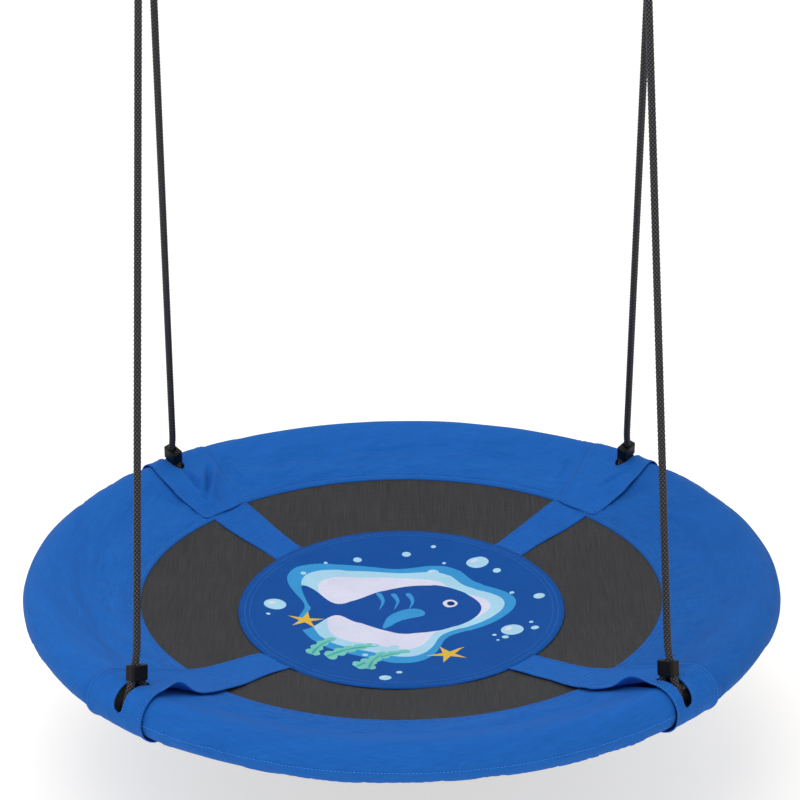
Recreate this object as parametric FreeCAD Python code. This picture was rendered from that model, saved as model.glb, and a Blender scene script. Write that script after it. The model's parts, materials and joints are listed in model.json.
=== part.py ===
import FreeCAD, Part
import math
import os

V = FreeCAD.Vector
os.makedirs("parts", exist_ok=True)

# ---------------------------------------------------------------- driving dimensions (mm)
# X is to the right, Y to the rear, Z up.  The origin is the middle of the hanging line, which
# joins the insides of the two snap hooks' upper bows, where the swing hangs from its beam.

HANG_HALF_SPAN = 304.0       # hanging line, centre to each snap hook
SEAT_DROP = 1120.0           # hanging line down to the centre plane of the rim

RIM_RADIUS = 473.0           # centre line of the round steel frame
CORNER_ANGLE = 46.5          # rope corners, from the X axis
TUBE_RADIUS = 12.5
TUBE_WALL = 1.5
SPIGOT_CLEARANCE = 0.1
SEAM_ANGLE = 1.6             # tube seam, degrees past the corner
SPIGOT_ANGLE = 4.6           # length of the plug-in end, degrees
BOLT_ANGLE = 3.6             # joint bolt, degrees past the corner

FOAM_RADIUS = 25.0
FOAM_BORE = 12.9
FOAM_START = 5.0             # foam begins past the bolt, degrees past the corner
FOAM_END = 2.0               # and ends before the next corner's rope

COVER_RADIUS = 27.0          # outside of the fabric sleeve where it wraps the foam
COVER_SHEET = 1.5
COVER_GAP = 2.0              # sleeve ends stand this many degrees off the corner
HEM_SIDE = 347.0             # inner edge of the left and right sleeves
HEM_END = 355.0              # inner edge of the front and rear sleeves
HEM_HEIGHT = 2.6

MAT_RADIUS = 360.0
MAT_SHEET = 1.2
MAT_DEPTH = 55.0             # middle of the mat under the rim's centre plane
MAT_CURVE = 1551.0           # radius of the sagging dish

STRAP_WIDTH = 50.0
STRAP_SHEET = 1.2
STRAP_REACH = 345.0
STRAP_END_WIDTH = 66.0       # the straps widen towards the rim
STRAP_WIDENS_FROM = 235.0
PANEL_HALF_X = 218.0         # round centre panel, slightly longer fore and aft
PANEL_HALF_Y = 231.5
PANEL_HEIGHT = 3.6

FLAP_GAP = 0.3               # flap off the sleeve
FLAP_SHEET = 1.5
FLAP_TIP = 338.0
FLAP_TIP_DROP = 16.4
FLAP_TIP_HALF_WIDTH = 31.0
FLAP_RIM_HALF_WIDTH = 62.0
FLAP_WIDE_FROM = 445.0
FLAP_UNDER_FROM = 412.0      # inner edge of the flap on the underside
SLOT_WIDTH = 15.0
SLOT_IN = 24.0               # slot, inward and outward of the tube's centre
SLOT_OUT = 34.0
SLOT_END = 3.0               # outer end of the slot, over the tube's centre

ROPE_RADIUS = 5.0
LOOP_PLAY = 2.5              # side play of the rope loop, which stands askew on the tube
EYE_PLAY = 0.8
EYE_STRAND = 5.6             # half the distance between the two strands under the ring
LEG_BEND = 60.0

CLAMP_BOTTOM = 35.0          # rim clamp, from the tube's centre along the rope leg
CLAMP_TOP = 54.0
CLAMP_LENGTH = 26.0
CLAMP_WIDTH = 15.0
CLAMP_EDGE = 1.6
ROPE_END_HEIGHT = 39.5       # the rope's end is held inside the clamp
EYE_CLAMP_TOP = 20.0         # eye clamp, under the ring rod's centre
EYE_CLAMP_BOTTOM = 42.0

RING_ROD = 4.0
RING_RADIUS = 24.0
RING_PLAY = 0.2

HOOK_ROD = 4.0
HOOK_TOP_BOW = 16.0
HOOK_LOW_BOW = 9.5
HOOK_LENGTH = 80.0
HOOK_SHOULDER = 10.4         # distances along the gate line, from the low bow's tangent point
GATE_FOOT = 12.2
PIN_PLACE = 15.5
GATE_STEP = 22.0
GATE_TOP = 39.0
NOSE_END = 40.0
LATCH_TOP = 44.0
GATE_RADIUS = 3.7
THREAD_RADIUS = 4.0
LATCH_THICKNESS = 3.0
LATCH_SLOT = 3.6
TONGUE_THICKNESS = 3.2
TONGUE_RADIUS = 2.6
PIN_RADIUS = 1.25
PIN_CLEARANCE = 0.05
SLEEVE_FROM = 24.1
SLEEVE_LENGTH = 13.8
SLEEVE_RADIUS = 5.6
SLEEVE_BORE = 4.1
SPRING_BORE = 1.9
SPRING_RADIUS = 1.2
SPRING_WIRE = 0.25
SPRING_FROM = 19.5
SPRING_LENGTH = 9.0
SPRING_PITCH = 1.5

BOLT_RADIUS = 3.0
BOLT_HOLE = 3.25
BOLT_LENGTH = 37.0
BOLT_HEAD_FLATS = 10.0
BOLT_HEAD_HEIGHT = 4.0
NUT_HEIGHT = 5.2
WASHER_THICKNESS = 1.6
WASHER_RADIUS = 6.0
SPRING_WASHER_RADIUS = 5.5

# ---------------------------------------------------------------- worked out from them

CORNERS = {"front_left": 180.0 + CORNER_ANGLE, "front_right": 360.0 - CORNER_ANGLE,
           "rear_right": CORNER_ANGLE, "rear_left": 180.0 - CORNER_ANGLE}
SIDES = {"left": -1.0, "right": 1.0}
END_SPAN = 180.0 - 2 * CORNER_ANGLE
SIDE_SPAN = 2 * CORNER_ANGLE
QUARTERS = {"front": (CORNERS["front_left"], END_SPAN), "right": (CORNERS["front_right"], SIDE_SPAN),
            "rear": (CORNERS["rear_right"], END_SPAN), "left": (CORNERS["rear_left"], SIDE_SPAN)}

LOOP_RADIUS = TUBE_RADIUS + ROPE_RADIUS + LOOP_PLAY
EYE_RADIUS = RING_ROD + ROPE_RADIUS + EYE_PLAY
TOP_BOW_CENTRE = -(HOOK_TOP_BOW - HOOK_ROD)
LOW_BOW_ROD = TOP_BOW_CENTRE + HOOK_TOP_BOW + HOOK_ROD - HOOK_LENGTH + HOOK_ROD
LOW_BOW_CENTRE = LOW_BOW_ROD + HOOK_LOW_BOW
RING_CENTRE = LOW_BOW_ROD + HOOK_ROD + RING_PLAY + RING_ROD - RING_RADIUS
EYE_HEIGHT = RING_CENTRE - RING_RADIUS

UP = V(0, 0, 1)
SEAT = V(0, 0, -SEAT_DROP)


def save(name, shape):
    """Write one sub-part and report its size."""
    if not shape.isValid():
        raise ValueError(name + " is not a valid shape")
    shape.exportStep("parts/" + name + ".step")
    box = shape.BoundBox
    print("%-22s %9.0f mm3  z %8.1f %8.1f" % (name, shape.Volume, box.ZMin, box.ZMax))


def polar(radius, angle, height=0.0):
    """Point in the seat's own frame, whose origin is the rim's centre."""
    turn = math.radians(angle)
    return V(radius * math.cos(turn), radius * math.sin(turn), height)


def at_corner(shape, angle):
    """Turn a shape built on the +X side of the seat to a corner and lower it to the seat."""
    turned = shape.copy()
    turned.rotate(V(0, 0, 0), UP, angle)
    turned.translate(SEAT)
    return turned


def revolve(face, start, end):
    """Revolve an X-Z profile about the seat's axis between two angles."""
    solid = face.revolve(V(0, 0, 0), UP, end - start)
    solid.rotate(V(0, 0, 0), UP, start)
    return solid


def ring_arc(outer, inner, start, end):
    """Quarter ring with a round section, hollow when inner is not zero."""
    face = Part.Face(Part.Wire(Part.Circle(V(RIM_RADIUS, 0, 0), V(0, 1, 0), outer).toShape()))
    if inner > 0:
        core = Part.Face(Part.Wire(Part.Circle(V(RIM_RADIUS, 0, 0), V(0, 1, 0), inner).toShape()))
        face = face.cut(core).Faces[0]
    return revolve(face, start, end)


# ---------------------------------------------------------------- rope routes

def rope_wire(points, radii):
    """Straight runs joined by tangent arcs: one radius for each inner point."""
    edges = []
    last = points[0]
    for before, corner, after, radius in zip(points, points[1:], points[2:], radii):
        back = (before - corner).normalize()
        ahead = (after - corner).normalize()
        turn = math.pi - back.getAngle(ahead)
        reach = radius * math.tan(turn / 2)
        first = corner + back * reach
        second = corner + ahead * reach
        inward = (back + ahead).normalize()
        middle = corner + inward * (radius / math.cos(turn / 2) - radius)
        if first.distanceToPoint(last) > 0.01:
            edges.append(Part.LineSegment(last, first).toShape())
        edges.append(Part.Arc(first, middle, second).toShape())
        last = second
    edges.append(Part.LineSegment(last, points[-1]).toShape())
    return Part.Wire(edges)


def wrap_points(centre, out, up, radius, start, end, count):
    """Corners of the polygon round an arc, whose fillets of the same radius give the arc back."""
    step = (end - start) / count
    reach = radius / math.cos(math.radians(step / 2))
    corners = []
    for index in range(count):
        angle = math.radians(start + (index + 0.5) * step)
        corners.append(centre + out * (reach * math.sin(angle)) + up * (reach * math.cos(angle)))
    return corners


def leg_frame(name):
    """Tube centre at a corner, and the axes of its rope loop: outward, across, and up the leg."""
    side = name.split("_")[1]
    angle = CORNERS[name]
    centre = polar(RIM_RADIUS, angle) + SEAT
    strand = -EYE_STRAND if name.startswith("front") else EYE_STRAND
    head = V(SIDES[side] * HANG_HALF_SPAN + strand, 0, EYE_HEIGHT - EYE_CLAMP_BOTTOM)
    up = (head - centre).normalize()
    out = polar(1.0, angle + 90.0).cross(up).normalize()
    across = up.cross(out)
    return centre, out, across, up


def rim_route(name):
    """Route from a rim clamp's top, round the tube, to the rope's end inside the clamp."""
    centre, out, across, up = leg_frame(name)
    tangent = math.degrees(math.acos(LOOP_RADIUS / CLAMP_TOP))
    corners = wrap_points(centre, out, up, LOOP_RADIUS, tangent, 360.0 - tangent, 3)
    lean = (CLAMP_TOP - ROPE_END_HEIGHT) * math.tan(math.asin(LOOP_RADIUS / CLAMP_TOP))
    end = centre - out * lean + up * ROPE_END_HEIGHT
    return [centre + up * CLAMP_TOP] + corners + [end]


def eye_route(x):
    """Route through the eye clamp and over the ring, from the front strand to the rear one."""
    centre = V(x, 0, EYE_HEIGHT)
    out = V(-1, 0, 0)
    run = math.hypot(EYE_STRAND, EYE_CLAMP_TOP)
    lean = math.degrees(math.atan2(EYE_STRAND, EYE_CLAMP_TOP))
    tangent = 180.0 - lean - math.degrees(math.acos(EYE_RADIUS / run))
    over = wrap_points(centre, out, UP, EYE_RADIUS, tangent, -tangent, 3)
    points = []
    for level in (EYE_CLAMP_BOTTOM, EYE_CLAMP_TOP):
        points.append(centre + out * EYE_STRAND - UP * level)
    points += over
    for level in (EYE_CLAMP_TOP, EYE_CLAMP_BOTTOM):
        points.append(centre - out * EYE_STRAND - UP * level)
    return points


def rope_route(side):
    """Whole rope of one side, from its end in the front clamp to its end in the rear clamp."""
    front = rim_route("front_" + side)
    rear = rim_route("rear_" + side)
    points = front[::-1] + eye_route(SIDES[side] * HANG_HALF_SPAN) + rear
    loop = [LOOP_RADIUS] * 3
    eye = [LEG_BEND, 30.0, EYE_RADIUS, EYE_RADIUS, EYE_RADIUS, 30.0, LEG_BEND]
    clamp = [LOOP_RADIUS]
    radii = loop + clamp + eye + clamp + loop
    return points, radii


def rope(side):
    """Solid rope, its section swept along the route and checked against section times length."""
    points, radii = rope_route(side)
    path = rope_wire(points, radii)
    start = points[0]
    section = Part.Circle(start, points[1] - start, ROPE_RADIUS).toShape()
    solid = path.makePipeShell([Part.Wire(section)], True, True)
    expected = math.pi * ROPE_RADIUS ** 2 * path.Length
    print("rope_%s length %.1f, volume ratio %.4f, radii %s"
          % (side, path.Length, solid.Volume / expected, radii))
    return solid


def at_leg(shape, name):
    """Place a shape built about the tube's centre, X outward and Z up the leg, at its corner."""
    centre, out, across, up = leg_frame(name)
    axes = FreeCAD.Matrix(out.x, across.x, up.x, centre.x,
                          out.y, across.y, up.y, centre.y,
                          out.z, across.z, up.z, centre.z,
                          0, 0, 0, 1)
    placed = shape.copy()
    placed.transformShape(axes)
    return placed


# ---------------------------------------------------------------- plain solids

def block(length, width, bottom, top, edge):
    """Moulded block about the Z axis with rounded upright edges and softened rims."""
    solid = Part.makeBox(length, width, top - bottom, V(-length / 2, -width / 2, bottom))
    upright = [e for e in solid.Edges if abs(e.Vertexes[0].Z - e.Vertexes[1].Z) > 1]
    solid = solid.makeFillet(2 * edge, upright)
    level = [e for e in solid.Edges if abs(e.BoundBox.ZMax - e.BoundBox.ZMin) < 0.01]
    return solid.makeChamfer(edge / 2, level)


def rod(start, end, radius):
    """Round rod between two points."""
    return Part.makeCylinder(radius, start.distanceToPoint(end), start, end - start)


def hexagon(flats, height, bottom):
    """Hexagonal prism on the Z axis with its point ends lightly turned off."""
    corner = flats / math.sqrt(3)
    points = [V(corner * math.cos(i * math.pi / 3), corner * math.sin(i * math.pi / 3), bottom)
              for i in range(7)]
    prism = Part.Face(Part.makePolygon(points)).extrude(V(0, 0, height))
    turned = Part.makeCylinder(corner * 0.97, height, V(0, 0, bottom))
    return prism.common(turned)


# ---------------------------------------------------------------- steel frame and fasteners

def frame_tube(start, span):
    """One part of the rim: an open socket at its start and a plug-in spigot at its end."""
    first = start + SEAM_ANGLE
    last = first + span
    bore = TUBE_RADIUS - TUBE_WALL
    plug = bore - SPIGOT_CLEARANCE
    tube = ring_arc(TUBE_RADIUS, bore, first, last)
    collar = ring_arc(bore + 0.2, plug - TUBE_WALL, last - 1.2, last - 0.1)
    spigot = ring_arc(plug, plug - TUBE_WALL, last - 1.2, last + SPIGOT_ANGLE)
    solid = tube.fuse([collar, spigot]).removeSplitter()
    for angle in (start + BOLT_ANGLE, start + span + BOLT_ANGLE):
        foot = polar(RIM_RADIUS, angle, -2 * TUBE_RADIUS)
        solid = solid.cut(Part.makeCylinder(BOLT_HOLE, 4 * TUBE_RADIUS, foot))
    solid.translate(SEAT)
    return solid


def joint_bolt():
    """Hexagon bolt that stands on its washer on top of the tube."""
    seat = TUBE_RADIUS + WASHER_THICKNESS
    shank = Part.makeCylinder(BOLT_RADIUS, BOLT_LENGTH, V(0, 0, seat - BOLT_LENGTH))
    return shank.fuse(hexagon(BOLT_HEAD_FLATS, BOLT_HEAD_HEIGHT, seat))


def washer(radius, bottom):
    """Plain washer on the Z axis."""
    disc = Part.makeCylinder(radius, WASHER_THICKNESS, V(0, 0, bottom))
    return disc.cut(Part.makeCylinder(BOLT_HOLE, WASHER_THICKNESS, V(0, 0, bottom)))


def spring_washer():
    """Split spring washer under the tube."""
    bottom = -TUBE_RADIUS - WASHER_THICKNESS
    split = Part.makeBox(SPRING_WASHER_RADIUS, 0.8, WASHER_THICKNESS, V(0, -0.4, bottom))
    return washer(SPRING_WASHER_RADIUS, bottom).cut(split)


def hex_nut():
    """Nut that closes the joint bolt, bored to the bolt's own radius."""
    bottom = -TUBE_RADIUS - WASHER_THICKNESS - NUT_HEIGHT
    body = hexagon(BOLT_HEAD_FLATS, NUT_HEIGHT, bottom)
    return body.cut(Part.makeCylinder(BOLT_RADIUS, NUT_HEIGHT, V(0, 0, bottom)))


def at_bolts(shape):
    """The same fastener at each of the four joint bolts."""
    copies = []
    for angle in CORNERS.values():
        one = shape.copy()
        one.translate(V(RIM_RADIUS, 0, 0))
        copies.append(at_corner(one, angle + BOLT_ANGLE))
    return Part.Compound(copies)


# ---------------------------------------------------------------- fabric

def tangent_point(tip, radius, upper):
    """Where a line from the tip touches the circle round the rim's section."""
    away = tip - V(RIM_RADIUS, 0, 0)
    spread = math.acos(radius / away.Length)
    base = math.atan2(away.z, away.x)
    angle = base - spread if upper else base + spread
    return V(RIM_RADIUS + radius * math.cos(angle), 0, radius * math.sin(angle))


def drop_outline(tip_top, tip_low, radius):
    """Closed drop-shaped outline that hangs over the rim's section."""
    upper = tangent_point(tip_top, radius, True)
    lower = tangent_point(tip_low, radius, False)
    outer = V(RIM_RADIUS + radius, 0, 0)
    edges = [Part.LineSegment(tip_top, upper).toShape(),
             Part.Arc(upper, outer, lower).toShape(),
             Part.LineSegment(lower, tip_low).toShape()]
    if tip_top.distanceToPoint(tip_low) > 0.01:
        edges.append(Part.LineSegment(tip_low, tip_top).toShape())
    return Part.Face(Part.Wire(edges))


def dish_height(radius):
    """Top of the sagging mat at a distance from the seat's axis."""
    return -MAT_DEPTH + MAT_CURVE - math.sqrt(MAT_CURVE ** 2 - radius ** 2)


def dish(radius, bottom, top):
    """Round piece that follows the mat, between two heights over the mat's top face."""
    edges = []
    for level in (bottom, top):
        curve = MAT_CURVE - level
        middle = V(0, 0, MAT_CURVE - MAT_DEPTH)
        half = math.asin(radius / 2 / curve)
        full = math.asin(radius / curve)
        points = [middle + V(curve * math.sin(a), 0, -curve * math.cos(a)) for a in (0, half, full)]
        edges.append(Part.Arc(*points).toShape())
    inner = Part.LineSegment(edges[0].Vertexes[0].Point, edges[1].Vertexes[0].Point).toShape()
    outer = Part.LineSegment(edges[0].Vertexes[1].Point, edges[1].Vertexes[1].Point).toShape()
    wire = Part.Wire([edges[0], outer, edges[1], inner])
    return Part.Face(wire).revolve(V(0, 0, 0), UP, 360)


def seat_mat():
    """Woven seat surface, one sagging sheet whose edge is sewn between the sleeves' hems."""
    return dish(MAT_RADIUS, -MAT_SHEET, 0.0)


def cover(start, span, hem, mat):
    """Fabric sleeve over one part of the rim."""
    middle = dish_height(hem)
    tip_top = V(hem, 0, middle + HEM_HEIGHT / 2)
    tip_low = V(hem, 0, middle - HEM_HEIGHT / 2)
    inside = V(hem + 8, 0, middle)
    shell = drop_outline(tip_top, tip_low, COVER_RADIUS)
    shell = shell.cut(drop_outline(inside, inside, COVER_RADIUS - COVER_SHEET)).Faces[0]
    solid = revolve(shell, start + COVER_GAP, start + span - COVER_GAP)
    solid = solid.cut(mat)
    solid.translate(SEAT)
    return solid


def strap_box(angle, width, low, high):
    """Upright slab along a diagonal of the seat."""
    slab = Part.makeBox(2 * STRAP_REACH, width, high - low, V(-STRAP_REACH, -width / 2, low))
    slab.rotate(V(0, 0, 0), UP, angle)
    return slab


def strap_pattern(angle):
    """Outline of a strap along a diagonal, wider at both ends, as an upright slab."""
    middle = STRAP_WIDTH / 2
    end = STRAP_END_WIDTH / 2
    quarter = [(STRAP_WIDENS_FROM, middle), (STRAP_REACH, end)]
    right = quarter + [(x, -y) for x, y in reversed(quarter)]
    left = [(-x, -y) for x, y in right]
    corners = [V(x, y, -80) for x, y in right + left]
    slab = Part.Face(Part.makePolygon(corners + corners[:1])).extrude(V(0, 0, 90))
    slab.rotate(V(0, 0, 0), UP, angle)
    return slab


def under_strap():
    """Diagonal strap that lies on the mat."""
    return dish(STRAP_REACH, 0.0, STRAP_SHEET).common(strap_pattern(CORNER_ANGLE))


def over_strap():
    """The other diagonal strap, which steps over the first one in the middle."""
    path = strap_pattern(-CORNER_ANGLE)
    low = dish(STRAP_REACH, 0.0, STRAP_SHEET).common(path)
    low = low.cut(strap_box(CORNER_ANGLE, STRAP_WIDTH + 1, -80, 10))
    high = dish(STRAP_REACH, STRAP_SHEET, 2 * STRAP_SHEET).common(path)
    high = high.common(strap_box(CORNER_ANGLE, STRAP_WIDTH + 8, -80, 10))
    return low.fuse(high)


def centre_panel(straps):
    """Padded centre panel, sewn over the straps."""
    ellipse = Part.Ellipse(V(0, 0, -90), PANEL_HALF_Y, PANEL_HALF_X)
    outline = Part.Wire(ellipse.toShape())
    outline.rotate(V(0, 0, 0), UP, 90)
    column = Part.Face(outline).extrude(V(0, 0, 100))
    return dish(PANEL_HALF_Y + 10, 0.0, PANEL_HEIGHT).common(column).cut(straps)


def flap(name):
    """Flap that laps a corner, wraps the rim and lets the rope out through its radial slot."""
    inner = COVER_RADIUS + FLAP_GAP
    hem = dish_height(HEM_SIDE)
    over_low = V(FLAP_TIP, 0, -FLAP_TIP_DROP)
    over_top = V(FLAP_TIP, 0, FLAP_SHEET - FLAP_TIP_DROP)
    under_top = V(FLAP_TIP, 0, hem - HEM_HEIGHT / 2 - FLAP_GAP)
    under_low = V(FLAP_TIP, 0, hem - HEM_HEIGHT / 2 - FLAP_GAP - FLAP_SHEET)
    wrap = drop_outline(over_top, under_low, inner + FLAP_SHEET)
    wrap = wrap.cut(drop_outline(over_low, under_top, inner))
    short = Part.makePlane(FLAP_UNDER_FROM, 40, V(0, 0, under_top.z), V(0, 1, 0), V(1, 0, 0))
    sheet = revolve(wrap.cut(short).Faces[0], -12, 12)
    edge = RIM_RADIUS + COVER_RADIUS + 10
    outline = [V(FLAP_TIP - 5, -FLAP_TIP_HALF_WIDTH, -60),
               V(FLAP_WIDE_FROM, -FLAP_RIM_HALF_WIDTH, -60),
               V(edge, -FLAP_RIM_HALF_WIDTH, -60),
               V(edge, FLAP_RIM_HALF_WIDTH, -60),
               V(FLAP_WIDE_FROM, FLAP_RIM_HALF_WIDTH, -60),
               V(FLAP_TIP - 5, FLAP_TIP_HALF_WIDTH, -60)]
    pattern = Part.Face(Part.makePolygon(outline + outline[:1])).extrude(V(0, 0, 120))
    slot = Part.makeBox(SLOT_IN + SLOT_OUT, SLOT_WIDTH, 60, V(-SLOT_IN, -SLOT_WIDTH / 2, SLOT_END))
    return at_corner(sheet.common(pattern), CORNERS[name]).cut(at_leg(slot, name))


# ---------------------------------------------------------------- hanging hardware

def rim_clamp(name, tube):
    """Moulded clamp over a rim corner, in line with its leg, with the rope moulded in."""
    body = block(CLAMP_LENGTH, CLAMP_WIDTH, CLAMP_BOTTOM, CLAMP_TOP, CLAMP_EDGE)
    return at_leg(body, name).cut(tube)


def eye_clamp(x, tube):
    """Moulded clamp that holds the two strands together under the ring."""
    body = block(CLAMP_LENGTH, CLAMP_WIDTH, -EYE_CLAMP_BOTTOM, -EYE_CLAMP_TOP, CLAMP_EDGE)
    body.translate(V(x, 0, EYE_HEIGHT))
    return body.cut(tube)


def ring(x):
    """Welded steel ring between the snap hook and the rope eye."""
    return Part.makeTorus(RING_RADIUS, RING_ROD, V(x, 0, RING_CENTRE), V(1, 0, 0))


def gate_line():
    """Foot and direction of the gate's line, tangent to both bows on the +X side."""
    rise = TOP_BOW_CENTRE - LOW_BOW_CENTRE
    lean = math.asin((HOOK_TOP_BOW - HOOK_LOW_BOW) / rise)
    out = V(math.cos(lean), 0, -math.sin(lean))
    along = V(math.sin(lean), 0, math.cos(lean))
    foot = V(0, 0, LOW_BOW_CENTRE) + out * HOOK_LOW_BOW
    return foot, along, out


FOOT, ALONG, OUT = gate_line()
LINE_LENGTH = (TOP_BOW_CENTRE - LOW_BOW_CENTRE) * ALONG.z


def slab(low, high, inside, outside, thickness):
    """Flat piece in the hook's plane, between two places on the gate line."""
    corner = FOOT + ALONG * low + OUT * inside
    edges = [corner, corner + ALONG * (high - low)]
    edges.append(edges[1] + OUT * (outside - inside))
    edges.append(corner + OUT * (outside - inside))
    face = Part.Face(Part.makePolygon(edges + edges[:1]))
    face.translate(V(0, -thickness / 2, 0))
    return face.extrude(V(0, thickness, 0))


def pin_at(radius, length):
    """Round piece on the gate's pin, across the hook."""
    return Part.makeCylinder(radius, length, FOOT + ALONG * PIN_PLACE - V(0, length / 2, 0), V(0, 1, 0))


def hook_body():
    """Pear-shaped snap hook: wide bow up, open between its nose and its hinge tongue."""
    flip = V(-OUT.x, 0, OUT.z)
    top = V(0, 0, TOP_BOW_CENTRE)
    low = V(0, 0, LOW_BOW_CENTRE)
    path = Part.Wire([
        Part.LineSegment(FOOT + ALONG * HOOK_SHOULDER, FOOT).toShape(),
        Part.Arc(FOOT, low - UP * HOOK_LOW_BOW, low + flip * HOOK_LOW_BOW).toShape(),
        Part.LineSegment(low + flip * HOOK_LOW_BOW, top + flip * HOOK_TOP_BOW).toShape(),
        Part.Arc(top + flip * HOOK_TOP_BOW, top + UP * HOOK_TOP_BOW, top + OUT * HOOK_TOP_BOW).toShape(),
        Part.LineSegment(top + OUT * HOOK_TOP_BOW, FOOT + ALONG * NOSE_END).toShape()])
    section = Part.Circle(FOOT + ALONG * HOOK_SHOULDER, ALONG, HOOK_ROD).toShape()
    body = path.makePipeShell([Part.Wire(section)], True, True)
    tongue = slab(HOOK_SHOULDER - 3, PIN_PLACE, -TONGUE_RADIUS, TONGUE_RADIUS, TONGUE_THICKNESS)
    tongue = tongue.fuse(pin_at(TONGUE_RADIUS, TONGUE_THICKNESS))
    slot = slab(NOSE_END - 1, LATCH_TOP + 1.5, -HOOK_ROD - 1, 2.0, LATCH_SLOT)
    return body.fuse(tongue).cut(slot).cut(pin_at(PIN_RADIUS, 2 * HOOK_ROD))


def hook_gate():
    """Gate with a forked foot on the pin, a threaded waist and a flat latch in the nose."""
    foot = rod(FOOT + ALONG * GATE_FOOT, FOOT + ALONG * (GATE_STEP + 1), GATE_RADIUS)
    waist = rod(FOOT + ALONG * GATE_STEP, FOOT + ALONG * GATE_TOP, THREAD_RADIUS)
    latch = slab(GATE_TOP - 1, LATCH_TOP, -3.0, 1.4, LATCH_THICKNESS)
    fork = slab(GATE_FOOT - 1, SPRING_FROM, -GATE_RADIUS - 1, GATE_RADIUS + 1, LATCH_SLOT)
    bore = rod(FOOT + ALONG * (SPRING_FROM - 1), FOOT + ALONG * (SPRING_FROM + SPRING_LENGTH + 0.3),
               SPRING_BORE)
    solid = foot.fuse([waist, latch]).cut(fork).cut(bore)
    return solid.cut(pin_at(PIN_RADIUS + PIN_CLEARANCE, 3 * GATE_RADIUS))


def hook_pin():
    """Hinge pin, flush with the gate's fork."""
    return pin_at(PIN_RADIUS, 2 * GATE_RADIUS - 0.4)


def hook_sleeve():
    """Knurled screw sleeve in its open place, below the nose."""
    low = FOOT + ALONG * SLEEVE_FROM
    high = FOOT + ALONG * (SLEEVE_FROM + SLEEVE_LENGTH)
    body = rod(low, high, SLEEVE_RADIUS)
    rims = [e for e in body.Edges if e.Closed]
    return body.makeChamfer(0.6, rims).cut(rod(low, high, SLEEVE_BORE))


def hook_spring():
    """Coil inside the gate that closes it."""
    coil = Part.makeHelix(SPRING_PITCH, SPRING_LENGTH - 2 * SPRING_WIRE, SPRING_RADIUS)
    section = Part.Circle(V(SPRING_RADIUS, 0, 0), V(0, 1, 0), SPRING_WIRE).toShape()
    solid = Part.Wire(coil.Edges).makePipeShell([Part.Wire(section)], True, True)
    solid.rotate(V(0, 0, 0), V(0, 1, 0), math.degrees(math.asin(ALONG.x)))
    solid.translate(FOOT + ALONG * (SPRING_FROM + SPRING_WIRE))
    return solid


def at_hook(shape, x):
    """Copy of a hook piece at one end of the hanging line."""
    placed = shape.copy()
    placed.translate(V(x, 0, 0))
    return placed


# ---------------------------------------------------------------- make every sub-part

for name, (start, span) in QUARTERS.items():
    save("frame_tube_" + name, frame_tube(start, span))
    foam = ring_arc(FOAM_RADIUS, FOAM_BORE, start + FOAM_START, start + span - FOAM_END)
    foam.translate(SEAT)
    save("foam_" + name, foam)

mat = seat_mat()
for name, (start, span) in QUARTERS.items():
    hem = HEM_END if name in ("front", "rear") else HEM_SIDE
    save("cover_" + name, cover(start, span, hem, mat))

first_strap = under_strap()
second_strap = over_strap()
panel = centre_panel(first_strap.fuse(second_strap))
for name, piece in (("seat_mat", mat), ("strap_under", first_strap),
                    ("strap_over", second_strap), ("centre_panel", panel)):
    piece.translate(SEAT)
    save(name, piece)

for name in CORNERS:
    save("flap_" + name, flap(name))

save("joint_bolts", at_bolts(joint_bolt()))
save("flat_washers", at_bolts(washer(WASHER_RADIUS, TUBE_RADIUS)))
save("spring_washers", at_bolts(spring_washer()))
save("hex_nuts", at_bolts(hex_nut()))

for side, sign in SIDES.items():
    x = sign * HANG_HALF_SPAN
    cord = rope(side)
    save("rope_" + side, cord)
    for end in ("front_", "rear_"):
        save("rim_clamp_" + end + side, rim_clamp(end + side, cord))
    save("eye_clamp_" + side, eye_clamp(x, cord))
    save("ring_" + side, ring(x))
    save("hook_body_" + side, at_hook(hook_body(), x))
    save("hook_gate_" + side, at_hook(hook_gate(), x))
    save("hook_sleeve_" + side, at_hook(hook_sleeve(), x))
    save("hook_spring_" + side, at_hook(hook_spring(), x))

save("hook_pins", Part.Compound([at_hook(hook_pin(), s * HANG_HALF_SPAN) for s in SIDES.values()]))

print("eye height %.2f, low bow rod %.2f, pin %s, gate line %s"
      % (EYE_HEIGHT, LOW_BOW_ROD, FOOT + ALONG * PIN_PLACE, ALONG))
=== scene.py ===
import json
import math

import bmesh
import bpy
import numpy as np
from mathutils import Matrix, Vector, noise
from mathutils.geometry import delaunay_2d_cdt

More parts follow.
